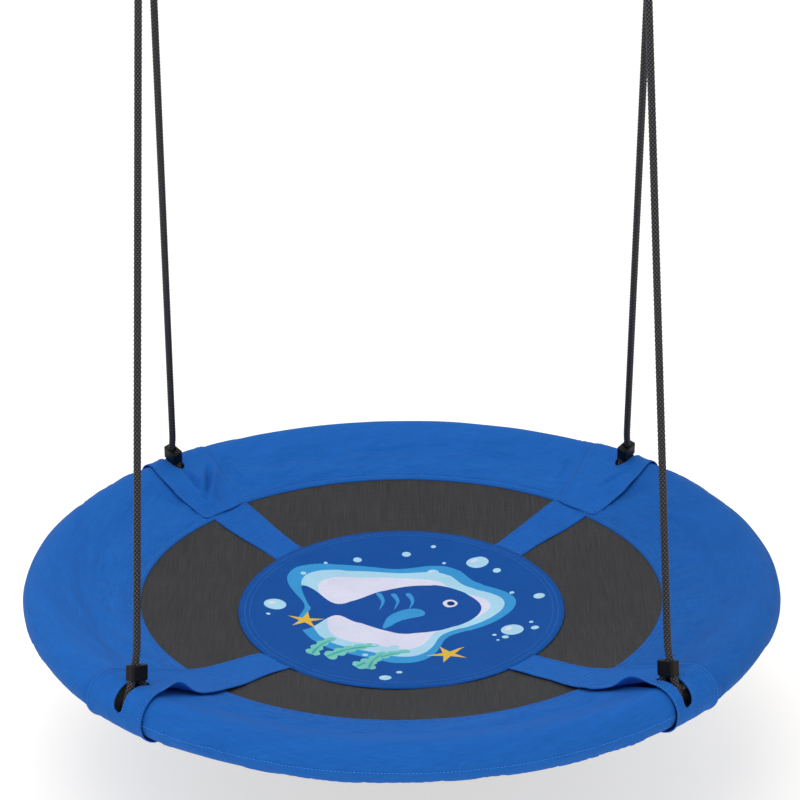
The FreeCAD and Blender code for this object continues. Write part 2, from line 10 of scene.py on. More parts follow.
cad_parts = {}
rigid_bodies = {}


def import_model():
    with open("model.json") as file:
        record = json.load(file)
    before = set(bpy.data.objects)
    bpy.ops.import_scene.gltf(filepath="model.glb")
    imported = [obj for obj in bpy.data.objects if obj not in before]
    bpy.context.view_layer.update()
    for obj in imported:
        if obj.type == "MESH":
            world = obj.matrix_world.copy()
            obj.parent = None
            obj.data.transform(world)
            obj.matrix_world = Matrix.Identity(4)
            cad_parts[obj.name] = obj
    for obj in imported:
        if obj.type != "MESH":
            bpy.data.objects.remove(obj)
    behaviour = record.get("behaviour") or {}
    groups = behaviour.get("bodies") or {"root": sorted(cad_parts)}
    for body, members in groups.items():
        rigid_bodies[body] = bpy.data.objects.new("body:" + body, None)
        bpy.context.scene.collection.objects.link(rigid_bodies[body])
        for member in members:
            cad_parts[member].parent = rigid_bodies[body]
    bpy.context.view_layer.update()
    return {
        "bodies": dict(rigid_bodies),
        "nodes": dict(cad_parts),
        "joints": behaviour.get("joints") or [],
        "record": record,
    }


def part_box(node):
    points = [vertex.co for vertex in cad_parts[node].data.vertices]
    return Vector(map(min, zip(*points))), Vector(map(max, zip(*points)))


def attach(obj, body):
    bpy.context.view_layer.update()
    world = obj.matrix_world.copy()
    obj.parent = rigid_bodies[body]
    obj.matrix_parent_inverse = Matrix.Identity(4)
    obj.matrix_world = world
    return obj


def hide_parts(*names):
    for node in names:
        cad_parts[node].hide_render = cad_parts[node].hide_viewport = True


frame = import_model()
scene = bpy.context.scene

# ------ sizes, in metres

SPAN = 0.304
DROP = 1.120
RIM = 0.473
CORNER = 46.5
TUBE = 0.0125
SLEEVE = 0.027
HEM = {"front": 0.355, "rear": 0.355, "left": 0.347, "right": 0.347}
MAT_EDGE = 0.360
MAT_DEPTH = 0.055
MAT_CURVE = 1.551
STRAP = 0.025
PANEL_X = 0.218
PANEL_Y = 0.2315
FLAP_TOP = 0.0287
FLAP_UNDER = 0.412

CORNERS = {"front_left": 180 + CORNER, "front_right": 360 - CORNER,
           "rear_right": CORNER, "rear_left": 180 - CORNER}
PARTS = {"front": (180 + CORNER, 180 - 2 * CORNER), "right": (-CORNER, 2 * CORNER),
         "rear": (CORNER, 180 - 2 * CORNER), "left": (180 - CORNER, 2 * CORNER)}
SEAT = Vector((0, 0, -DROP))


def polar(radius, angle, height=0.0):
    turn = math.radians(angle)
    return Vector((radius * math.cos(turn), radius * math.sin(turn), height))


def dish(radius):
    """Top of the sagging mat under the rim's plane."""
    return MAT_CURVE - MAT_DEPTH - math.sqrt(MAT_CURVE ** 2 - radius ** 2)


def smooth(low, high, value):
    t = min(max((value - low) / (high - low), 0.0), 1.0)
    return t * t * (3 - 2 * t)


def rough(x, y, z=0.0, octaves=2):
    """Soft repeatable unevenness, about -1 to 1."""
    return noise.fractal(Vector((x, y, z)), 0.6, 2.1, octaves)


# ------ camera

LENS = 128.5
CAMERA_PLACE = (-0.0119, -3.4140, 0.5847)
CAMERA_TURN = (22.913, 0.200, -0.40)        # down, to the right, rolled, in degrees


def add_camera():
    data = bpy.data.cameras.new("camera")
    data.sensor_width = 36.0
    data.lens = LENS
    camera = bpy.data.objects.new("camera", data)
    scene.collection.objects.link(camera)
    pitch, yaw, roll = (math.radians(v) for v in CAMERA_TURN)
    ahead = Vector((math.sin(yaw) * math.cos(pitch), math.cos(yaw) * math.cos(pitch), -math.sin(pitch)))
    right = Vector((math.cos(yaw), -math.sin(yaw), 0))
    up = right.cross(ahead)
    side = right * math.cos(roll) + up * math.sin(roll)
    top = up * math.cos(roll) - right * math.sin(roll)
    turn = Matrix((side, top, -ahead)).transposed().to_4x4()
    camera.matrix_world = Matrix.Translation(CAMERA_PLACE) @ turn
    scene.camera = camera


add_camera()

# ------ materials


class Nodes:
    """Small helper that builds one node material."""

    def __init__(self, name, **sockets):
        self.material = bpy.data.materials.new(name)
        self.material.use_nodes = True
        self.tree = self.material.node_tree
        self.shader = self.tree.nodes["Principled BSDF"]
        for socket, value in sockets.items():
            self.shader.inputs[socket.replace("_", " ")].default_value = value

    def add(self, kind, inputs=None, **settings):
        node = self.tree.nodes.new("ShaderNode" + kind)
        for key, value in settings.items():
            setattr(node, key, value)
        for key, value in (inputs or {}).items():
            if isinstance(value, bpy.types.NodeSocket):
                self.tree.links.new(value, node.inputs[key])
            else:
                node.inputs[key].default_value = value
        return node

    def place(self, scale, uv=False):
        """Coordinates in metres times a scale."""
        source = self.add("TexCoord")
        mapping = self.add("Mapping", {"Scale": scale})
        self.tree.links.new(source.outputs["UV" if uv else "Object"], mapping.inputs["Vector"])
        return mapping.outputs["Vector"]

    def blotch(self, scale, detail=3.0, uv=False, roughness=0.6):
        vector = self.place(scale, uv)
        node = self.add("TexNoise", {"Vector": vector, "Scale": 1.0, "Detail": detail,
                                     "Roughness": roughness})
        return node.outputs["Fac"]

    def ramp(self, value, stops):
        node = self.add("ValToRGB", {"Fac": value})
        elements = node.color_ramp.elements
        while len(elements) < len(stops):
            elements.new(0.5)
        for element, (place, colour) in zip(elements, stops):
            element.position = place
            element.color = colour
        return node.outputs["Color"]

    def mix(self, factor, first, second, blend="MIX"):
        inputs = {0: factor, 6: first, 7: second}
        return self.add("Mix", inputs, data_type="RGBA", blend_type=blend).outputs[2]

    def math(self, kind, first, second=0.0):
        return self.add("Math", {0: first, 1: second}, operation=kind).outputs[0]

    def blend(self, first, share, second):
        """A share of the first value and the rest of the second."""
        return self.math("ADD", self.math("MULTIPLY", first, share), self.math("MULTIPLY", second, 1 - share))

    def link(self, value, socket):
        self.tree.links.new(value, self.shader.inputs[socket])

    def bump(self, layers):
        """Layers of (height, distance in metres, strength), the coarsest first."""
        normal = None
        for height, distance, strength in layers:
            node = self.add("Bump", {"Height": height, "Distance": distance, "Strength": strength})
            if normal is not None:
                self.tree.links.new(normal, node.inputs["Normal"])
            normal = node.outputs["Normal"]
        self.link(normal, "Normal")


def tone(red, green, blue, factor=1.0):
    """Display colour 0-255 as a linear colour."""
    def channel(value):
        value = min(value * factor, 255.0) / 255.0
        return value / 12.92 if value <= 0.04045 else ((value + 0.055) / 1.055) ** 2.4
    return (channel(red), channel(green), channel(blue), 1.0)


def grey(value):
    return (value, value, value, 1.0)


def cloth(name, colour, yarn=0.0009, contrast=0.06, uv=True, sheen=0.02, cross=0.6):
    """Woven cloth: slubby yarns both ways, soft colour variation, a bump for the weave."""
    nodes = Nodes(name, Roughness=0.82, Sheen_Weight=sheen, Sheen_Roughness=0.4,
                  Specular_IOR_Level=0.09)
    along = nodes.blotch((40, 1 / yarn * 0.6, 40), 2.0, uv)
    across = nodes.blotch((1 / yarn * 0.6, 40, 40), 2.0, uv)
    cloud = nodes.blotch((14, 14, 14), 4.0, uv)
    dark = tuple(c * (1 - 2.2 * contrast) for c in colour[:3]) + (1.0,)
    light = tuple(min(c * (1 + 2.2 * contrast), 1.0) for c in colour[:3]) + (1.0,)
    threads = nodes.blend(along, cross, across)
    base = nodes.ramp(threads, [(0.36, dark), (0.64, light)])
    shade = nodes.ramp(cloud, [(0.3, (0.88, 0.89, 0.92, 1)), (0.7, grey(1.0))])
    nodes.link(nodes.mix(1.0, base, shade, "MULTIPLY"), "Base Color")
    place = nodes.place((1, 1, 1), uv)
    waves = [nodes.add("TexWave", {"Vector": place, "Scale": 1 / yarn / 6.283 * 3.14, "Distortion": 0.4},
                       bands_direction=way).outputs["Fac"] for way in "XY"]
    weave = nodes.math("ADD", *waves)
    nodes.link(nodes.ramp(threads, [(0.3, grey(0.76)), (0.7, grey(0.9))]), "Roughness")
    nodes.bump([(cloud, 0.004, 0.25), (threads, 0.0006, 0.5), (weave, 0.0002, 0.35)])
    return nodes.material


cloth_blue = cloth("oxford_cloth", tone(29, 99, 183))
# The sleeves are one cloth, but the left sleeve gets a lighter copy (painted light) and the right sleeve a
# darker copy (painted shade).
cloth_sleeve = {"front": cloth_blue, "rear": cloth_blue,
                "left": cloth("oxford_cloth_left", tone(30, 101, 185)),
                "right": cloth("oxford_cloth_painted_shade", tone(27, 94, 174))}
cloth_strap = cloth("strap_cloth", tone(27, 96, 180))
cloth_ground = cloth("printed_ground", tone(16, 80, 158), contrast=0.03)
INKS = {"sky": (58, 152, 212), "pale": (172, 217, 238), "white": (222, 222, 240), "navy": (20, 78, 158),
        "deep": (14, 54, 118), "yellow": (229, 188, 66), "mint": (118, 200, 186), "teal": (72, 168, 170)}
inks = {"ground": cloth_ground}
for ink, shade in INKS.items():
    inks[ink] = cloth("ink_" + ink, tone(*shade), contrast=0.02 if ink in ("pale", "white") else 0.03)


def yarn_material(name, roughness, gloss, scale, detail, stops, depth, strength):
    """Plain yarn: two tones in a fine blotch, with a bump to match."""
    nodes = Nodes(name, Roughness=roughness, Specular_IOR_Level=gloss)
    fibre = nodes.blotch((scale, scale, scale), detail)
    nodes.link(nodes.ramp(fibre, stops), "Base Color")
    nodes.bump([(fibre, depth, strength)])
    return nodes.material


def thread_material(name, factor):
    stops = [(0.35, tone(40, 108, 190, factor)), (0.65, tone(64, 132, 212, factor))]
    return yarn_material(name, 0.7, 0.2, 900, 1.0, stops, 0.0002, 0.5)


def mat_material():
    """Dark woven mesh: upright streaks of uneven yarn over a fine open weave."""
    nodes = Nodes("woven_mesh", Roughness=0.78, Specular_IOR_Level=0.14)
    streak = nodes.blotch((760, 16, 1), 3.0)
    weft = nodes.blotch((30, 620, 1), 2.0)
    cloud = nodes.blotch((7, 7, 7), 3.0)
    both = nodes.blend(streak, 0.72, weft)
    base = nodes.ramp(both, [(0.30, tone(44, 44, 46)), (0.5, tone(58, 58, 60)), (0.70, tone(71, 71, 72))])
    shade = nodes.ramp(cloud, [(0.3, grey(0.86)), (0.7, grey(1.0))])
    nodes.link(nodes.mix(1.0, base, shade, "MULTIPLY"), "Base Color")
    place = nodes.place((1, 1, 1))
    warp = nodes.add("TexWave", {"Vector": place, "Scale": 300.0}, bands_direction="X")
    cross = nodes.add("TexWave", {"Vector": place, "Scale": 240.0}, bands_direction="Y")
    weave = nodes.math("ADD", warp.outputs["Fac"], cross.outputs["Fac"])
    nodes.link(nodes.ramp(both, [(0.3, grey(0.6)), (0.7, grey(0.82))]), "Roughness")
    nodes.bump([(cloud, 0.003, 0.2), (both, 0.0007, 0.5), (weave, 0.0003, 0.4)])
    return nodes.material


def rope_material():
    """Black cord with painted light: every strand gets painted shade where it dives under the others and a
    painted highlight on its crown.
    """
    nodes = Nodes("braided_cord", Roughness=0.45, Specular_IOR_Level=0.22)
    fibre = nodes.blotch((700, 700, 700), 3.0)
    # The UV's first coordinate is the painted light mask: low where a strand dives (painted shade), high on
    # its outer crown (painted highlight).
    crown = nodes.add("SeparateXYZ", {"Vector": nodes.place((1, 1, 1), True)}).outputs["X"]
    level = nodes.math("ADD", nodes.math("MULTIPLY", crown, 0.8), nodes.math("MULTIPLY", fibre, 0.3))
    stops = [(0.20, tone(3, 3, 4)), (0.60, tone(12, 12, 14)), (0.92, tone(90, 90, 95))]
    nodes.link(nodes.ramp(level, stops), "Base Color")
    nodes.link(nodes.ramp(fibre, [(0.3, grey(0.40)), (0.7, grey(0.62))]), "Roughness")
    nodes.bump([(fibre, 0.0003, 0.6)])
    return nodes.material


def plastic_material():
    nodes = Nodes("moulded_black", Roughness=0.42, Specular_IOR_Level=0.2)
    grain = nodes.blotch((1200, 1200, 1200), 2.0)
    wear = nodes.blotch((90, 90, 90), 4.0)
    nodes.link(nodes.ramp(wear, [(0.35, tone(4, 5, 7)), (0.72, tone(12, 13, 15))]), "Base Color")
    nodes.link(nodes.ramp(wear, [(0.3, grey(0.34)), (0.7, grey(0.55))]), "Roughness")
    nodes.bump([(wear, 0.0006, 0.3), (grain, 0.0002, 0.5)])
    return nodes.material


def metal_material(name, colour, low, high, scratch=0.2):
    """Plated steel with fine scratches, cloudy plating and dull patches."""
    nodes = Nodes(name, Metallic=1.0)
    cloud = nodes.blotch((120, 120, 120), 4.0)
    lines = nodes.blotch((60, 60, 2200), 3.0)
    bright = tone(*colour)
    dull = tone(*colour, factor=0.86)
    nodes.link(nodes.ramp(cloud, [(0.3, dull), (0.7, bright)]), "Base Color")
    both = nodes.blend(cloud, 0.6, lines)
    nodes.link(nodes.ramp(both, [(0.35, grey(low)), (0.68, grey(high))]), "Roughness")
    nodes.bump([(cloud, 0.0004, 0.15), (lines, 0.0001, scratch)])
    return nodes.material


def foam_material():
    nodes = Nodes("closed_cell_foam", Roughness=0.95)
    place = nodes.place((700, 700, 700))
    cells = nodes.add("TexVoronoi", {"Vector": place, "Scale": 1.0}).outputs["Distance"]
    cloud = nodes.blotch((40, 40, 40), 3.0)
    nodes.link(nodes.ramp(cloud, [(0.3, tone(42, 43, 46)), (0.7, tone(62, 63, 66))]), "Base Color")
    nodes.bump([(cells, 0.0006, 0.6)])
    return nodes.material


thread = thread_material("sewing_thread", 1.0)
thread_pale = thread_material("seam_thread", 1.12)
mesh_grey = mat_material()
rope_black = rope_material()
# The core is near black, darker than the strands: the cord's own black plus painted shade for the gaps
# between the strands.
rope_core = yarn_material("cord_core", 0.9, 0.05, 700, 3.0,
                          [(0.35, tone(4, 4, 5)), (0.65, tone(14, 14, 15))], 0.0003, 0.6)
plastic_black = plastic_material()
bright_steel = metal_material("bright_zinc", (214, 216, 220), 0.16, 0.34)
zinc_steel = metal_material("dull_zinc", (196, 199, 204), 0.26, 0.46, 0.35)
tube_steel = metal_material("galvanised_tube", (170, 173, 178), 0.3, 0.5, 0.3)
spring_wire = metal_material("spring_wire", (176, 176, 180), 0.2, 0.36)
foam = foam_material()

def finish_cad_nodes():
    """Give every carried-over node its full material."""
    groups = ((("hook_body", "hook_gate", "hook_sleeve", "ring_"), bright_steel),
              (("hook_pins", "joint_bolts", "flat_washers", "spring_washers", "hex_nuts"), zinc_steel),
              (("frame_tube",), tube_steel), (("hook_spring",), spring_wire),
              (("rim_clamp", "eye_clamp"), plastic_black), (("foam",), foam))
    for name, node in frame["nodes"].items():
        for starts, material in groups:
            if name.startswith(starts):
                for place in node.material_slots:
                    place.material = material


finish_cad_nodes()

# ------ mesh building


def make_object(name, vertices, faces, materials, uvs=None, picks=None, flat=False):
    """Mesh object from plain lists, with one UV per vertex in metres."""
    mesh = bpy.data.meshes.new(name)
    mesh.from_pydata([tuple(v) for v in vertices], [], [tuple(f) for f in faces])
    for material in materials:
        mesh.materials.append(material)
    if uvs is not None:
        layer = mesh.uv_layers.new(name="cloth")
        index = np.empty(len(mesh.loops), dtype=np.int32)
        mesh.loops.foreach_get("vertex_index", index)
        layer.data.foreach_set("uv", np.asarray(uvs, dtype=np.float32)[index].ravel())
    if picks is not None:
        mesh.polygons.foreach_set("material_index", np.asarray(picks, dtype=np.int32))
    mesh.polygons.foreach_set("use_smooth", [not flat] * len(mesh.polygons))
    mesh.update()
    item = bpy.data.objects.new(name, mesh)
    scene.collection.objects.link(item)
    return item


def grid_faces(rows, columns, close_rows=False, close_columns=False, start=0):
    """Quads of a grid whose vertices are numbered row by row."""
    faces = []
    for i in range(rows if close_rows else rows - 1):
        for j in range(columns if close_columns else columns - 1):
            a, b = i * columns + j, i * columns + (j + 1) % columns
            c, d = (i + 1) % rows * columns + (j + 1) % columns, (i + 1) % rows * columns + j
            faces.append((start + a, start + b, start + c, start + d))
    return faces


def thicken(item, thickness, offset=0.0):
    """Turn an open sheet into cloth with real thickness."""
    modifier = item.modifiers.new("thickness", "SOLIDIFY")
    modifier.thickness = thickness
    modifier.offset = offset
    apply_modifiers(item)


def apply_modifiers(item):
    depsgraph = bpy.context.evaluated_depsgraph_get()
    mesh = bpy.data.meshes.new_from_object(item.evaluated_get(depsgraph))
    old = item.data
    item.modifiers.clear()
    item.data = mesh
    bpy.data.meshes.remove(old)


def tidy_normals(item):
    """Merge doubled vertices and point the faces outward."""
    work = bmesh.new()
    work.from_mesh(item.data)
    bmesh.ops.remove_doubles(work, verts=work.verts, dist=1e-5)
    bmesh.ops.recalc_face_normals(work, faces=work.faces)
    work.to_mesh(item.data)
    work.free()


def lengths_along(points):
    return np.concatenate([[0], np.cumsum(np.linalg.norm(np.diff(points, axis=0), axis=1))])


def walk(points, step):
    """Points at an even step along a line, with their directions."""
    total = lengths_along(points)
    count = max(int(round(total[-1] / step)), 2)
    places = np.linspace(0, total[-1], count + 1)
    out = np.column_stack([np.interp(places, total, points[:, k]) for k in range(3)])
    ahead = np.gradient(out, axis=0)
    ahead /= np.linalg.norm(ahead, axis=1)[:, None]
    return out, ahead


def stitches(name, lines, pitch=0.0046, length=0.0032, width=0.00042, material=None):
    """Rows of sewn stitches: each line is a list of (point, upward normal)."""
    vertices, faces = [], []
    for line in lines:
        points = np.array([p[:] for p, _ in line], dtype=float)
        normals = np.array([n[:] for _, n in line], dtype=float)
        total = lengths_along(points)
        for place in np.arange(pitch / 2, total[-1] - pitch / 2, pitch):
            first, last = (np.array([np.interp(where, total, points[:, k]) for k in range(3)])
                           for where in (place - length / 2, place + length / 2))
            up = np.array([np.interp(place - length / 2, total, normals[:, k]) for k in range(3)])
            up /= np.linalg.norm(up)
            along = last - first
            along /= np.linalg.norm(along)
            side = np.cross(up, along)
            base = len(vertices)
            for t, size, rise in ((0.0, 0.35, -0.3), (0.2, 1.0, 0.35), (0.8, 1.0, 0.35), (1.0, 0.35, -0.3)):
                middle = first + (last - first) * t + up * rise * width
                for k in range(6):
                    turn = k * math.pi / 3
                    vertices.append(middle + side * (math.cos(turn) * width * size)
                                    + up * (math.sin(turn) * width * size))
            for row in range(3):
                for k in range(6):
                    a, b = base + row * 6 + k, base + row * 6 + (k + 1) % 6
                    faces.append((a, b, b + 6, a + 6))
            faces.append(tuple(base + k for k in range(5, -1, -1)))
            faces.append(tuple(base + 18 + k for k in range(6)))
    item = make_object(name, vertices, faces, [material or thread])
    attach(item, "seat")
    return item


# ------ ropes: the route of the ropes' solids

ROPE = 0.005
LOOP = TUBE + ROPE + 0.0025
CLAMP_TOP = 0.054
ROPE_END = 0.0395
EYE = -0.1078
EYE_RADIUS = 0.004 + ROPE + 0.0008
EYE_STRAND = 0.0056
EYE_TOP = 0.020
EYE_BOTTOM = 0.042
STRAIGHT = 0.060
CORE_RADIUS = 0.0036


def wrap_points(centre, out, up, radius, start, end):
    """Three corners of the polygon that goes round a rod."""
    step = (end - start) / 3
    reach = radius / math.cos(math.radians(step / 2))
    turns = [math.radians(start + (k + 0.5) * step) for k in range(3)]
    return [centre + out * (reach * math.sin(t)) + up * (reach * math.cos(t)) for t in turns]


def leg_frame(name):
    """Tube centre at a corner, and the axes of its loop: outward, across, up the leg."""
    side = -1 if name.endswith("left") else 1
    strand = -EYE_STRAND if name.startswith("front") else EYE_STRAND
    centre = SEAT + polar(RIM, CORNERS[name])
    up = (Vector((side * SPAN + strand, 0, EYE - EYE_BOTTOM)) - centre).normalized()
    out = polar(1, CORNERS[name] + 90).cross(up).normalized()
    return centre, out, up.cross(out), up


def rim_route(name):
    centre, out, _, up = leg_frame(name)
    tangent = math.degrees(math.acos(LOOP / CLAMP_TOP))
    lean = (CLAMP_TOP - ROPE_END) * math.tan(math.asin(LOOP / CLAMP_TOP))
    top = centre + up * CLAMP_TOP
    around = wrap_points(centre, out, up, LOOP, tangent, 360 - tangent)
    return [top + up * STRAIGHT, top] + around + [centre - out * lean + up * ROPE_END]


def eye_route(x, front_leg, rear_leg):
    centre, out, up = Vector((x, 0, EYE)), Vector((-1, 0, 0)), Vector((0, 0, 1))
    run = math.hypot(EYE_STRAND, EYE_TOP)
    tangent = 180 - math.degrees(math.atan2(EYE_STRAND, EYE_TOP)) - math.degrees(math.acos(EYE_RADIUS / run))
    front = [centre + out * EYE_STRAND - up * level for level in (EYE_BOTTOM, EYE_TOP)]
    rear = [centre - out * EYE_STRAND - up * level for level in (EYE_TOP, EYE_BOTTOM)]
    over = wrap_points(centre, out, up, EYE_RADIUS, tangent, -tangent)
    return [front[0] - front_leg * STRAIGHT] + front + over + rear + [rear[1] - rear_leg * STRAIGHT]


def rope_line(side):
    """The rope's smooth centre line, a spline with the route's points as its control points."""
    x = -SPAN if side == "left" else SPAN
    front, rear = "front_" + side, "rear_" + side
    points = rim_route(front)[::-1]
    points += eye_route(x, leg_frame(front)[3], leg_frame(rear)[3])
    points += rim_route(rear)
    data = bpy.data.curves.new("rope_core_" + side, "CURVE")
    data.dimensions = "3D"
    spline = data.splines.new("NURBS")
    spline.points.add(len(points) - 1)
    for place, point in zip(spline.points, points):
        place.co = (*point, 1.0)
    spline.order_u = 3
    spline.use_endpoint_u = True
    spline.resolution_u = 24
    item = bpy.data.objects.new("rope_core_" + side, data)
    scene.collection.objects.link(item)
    mesh = bpy.data.meshes.new_from_object(item)
    line = np.array([v.co[:] for v in mesh.vertices])
    bpy.data.meshes.remove(mesh)
    data.bevel_depth = CORE_RADIUS
    data.bevel_resolution = 3
    data.use_fill_caps = True
    data.materials.append(rope_core)
    return item, points[0], line


BRAID_TURN = 0.033
BRAID_STRANDS = 6
BRAID_STEPS = 24
BRAID_RADIUS = 0.00370
BRAID_RISE = 0.00045          # how far a strand rides over and under the others
STRAND_WIDE = 0.00150
STRAND_THICK = 0.00085


def braid(name, line):
    """Round braid of strands that pass over and under each other."""
    points, ahead = walk(line, BRAID_TURN / BRAID_STEPS)
    side = np.zeros_like(points)
    side[0] = np.cross(ahead[0], (0, 0, 1.0) if abs(ahead[0][2]) < 0.9 else (1.0, 0, 0))
    side[0] /= np.linalg.norm(side[0])
    for k in range(1, len(points)):
        turned = side[k - 1] - ahead[k] * np.dot(side[k - 1], ahead[k])
        side[k] = turned / np.linalg.norm(turned)
    other = np.cross(ahead, side)
    steps = np.arange(len(points))
    vertices, faces, uvs = [], [], []
    ring = [k * math.pi / 3 for k in range(6)]
    for way in (1, -1):
        for strand in range(BRAID_STRANDS):
            turn = 2 * math.pi * (way * steps / BRAID_STEPS + strand / BRAID_STRANDS)
            over = way * np.cos(2 * math.pi * steps / 4)
            reach = BRAID_RADIUS + BRAID_RISE * over
            out = side * np.cos(turn)[:, None] + other * np.sin(turn)[:, None]
            middle = points + out * reach[:, None]
            round_way = np.gradient(middle, axis=0)
            round_way /= np.linalg.norm(round_way, axis=1)[:, None]
            wide = np.cross(out, round_way)
            base = len(vertices) and sum(len(v) for v in vertices)
            block = np.stack([middle + wide * (STRAND_WIDE * math.cos(t)) + out * (STRAND_THICK * math.sin(t))
                              for t in ring], axis=1).reshape(-1, 3)
            vertices.append(block)
            # The UV's first coordinate is the painted light mask for the cord's material: highest on the
            # outer face of a strand riding over (painted highlight), lowest where it dives under (painted
            # shade).
            uvs += [(0.5 + 0.5 * h * (0.6 + 0.4 * math.sin(t)), t) for h in over for t in ring]
            faces += grid_faces(len(points), 6, close_columns=True, start=base)
            last = base + (len(points) - 1) * 6
            faces.append(tuple(base + k for k in range(6)))
            faces.append(tuple(last + k for k in range(5, -1, -1)))
    item = make_object(name, np.concatenate(vertices), faces, [rope_black], uvs)
    tidy_normals(item)
    return item


def add_ropes():
    for side in ("left", "right"):
        core, start, line = rope_line(side)
        strands = braid("rope_braid_" + side, line)
        for piece in (core, strands):
            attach(piece, "ropes_" + side)
        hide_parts("rope_" + side)


add_ropes()

# ------ rim section


def tangent(tip, radius, upper):
    """Where a line from the tip touches the circle round the rim's section."""
    away = (tip[0] - RIM, tip[1])
    spread = math.acos(radius / math.hypot(*away))
    base = math.atan2(away[1], away[0])
    return base - spread if upper else base + spread


def rim_section(top_tip, low_tip, radius, step):
    """Open line over, round and under the rim's section: points, outward normals."""
    upper = tangent(top_tip, radius, True)
    lower = tangent(low_tip, radius, False)
    while lower > upper:
        lower -= 2 * math.pi
    points, normals = [], []

    def straight(first, last, normal, count):
        for k in range(count):
            t = k / count
            points.append((first[0] + (last[0] - first[0]) * t, first[1] + (last[1] - first[1]) * t))
            normals.append(normal)

    on = lambda turn: (RIM + radius * math.cos(turn), radius * math.sin(turn))
    up = (math.cos(upper), math.sin(upper))
    down = (math.cos(lower), math.sin(lower))
    straight(top_tip, on(upper), up, max(int(math.dist(top_tip, on(upper)) / step), 4))
    arc = radius * (upper - lower)
    count = int(arc / step)
    for k in range(count):
        turn = upper + (lower - upper) * k / count
        points.append(on(turn))
        normals.append((math.cos(turn), math.sin(turn)))
    straight(on(lower), low_tip, down, max(int(math.dist(low_tip, on(lower)) / step), 4))
    points.append(tuple(low_tip))
    normals.append(down)
    return np.array(points), np.array(normals)


def turned(radius, angle, height):
    t = math.radians(angle)
    return (radius * math.cos(t), radius * math.sin(t), height - DROP)


CLOTH_SETTINGS = {"quality": 6, "mass": 0.05, "tension_stiffness": 12.0, "compression_stiffness": 12.0,
                  "shear_stiffness": 6.0, "bending_stiffness": 0.03, "tension_damping": 5.0,
                  "shear_damping": 5.0, "vertex_group_mass": "held", "shrink_min": -0.030,
                  "use_pressure": True, "uniform_pressure_force": 0.25}
MOST_SLIDE = 0.002


def settle(item, held, most_out, most_in, frames=14):
    """Cloth simulation of a slightly roomy sleeve under light pressure, kept in a band round its start."""
    before = np.array([v.co[:] for v in item.data.vertices])
    normals = np.array([v.normal[:] for v in item.data.vertices])
    group = item.vertex_groups.new(name="held")
    group.add([int(k) for k in np.flatnonzero(held)], 1.0, "REPLACE")
    modifier = item.modifiers.new("cloth", "CLOTH")
    for key, value in CLOTH_SETTINGS.items():
        setattr(modifier.settings, key, value)
    modifier.settings.effector_weights.gravity = 0.0
    modifier.collision_settings.use_collision = False
    modifier.point_cache.frame_start = 1
    modifier.point_cache.frame_end = frames
    for frame in range(1, frames + 1):
        scene.frame_set(frame)
    ready = item.evaluated_get(bpy.context.evaluated_depsgraph_get())
    after = np.array([v.co[:] for v in ready.data.vertices])
    item.modifiers.remove(modifier)
    item.vertex_groups.remove(group)
    scene.frame_set(1)
    move = after - before
    rise = (move * normals).sum(axis=1)
    slide = move - normals * rise[:, None]
    rise = np.where(rise > 0, most_out * np.tanh(rise / most_out), -most_in * np.tanh(-rise / most_in))
    length = np.linalg.norm(slide, axis=1)
    slide *= (np.minimum(length, MOST_SLIDE) / np.maximum(length, 1e-9))[:, None]
    final = before + normals * rise[:, None] + slide
    final[held] = before[held]
    item.data.vertices.foreach_set("co", final.ravel())
    item.data.update()
    return final


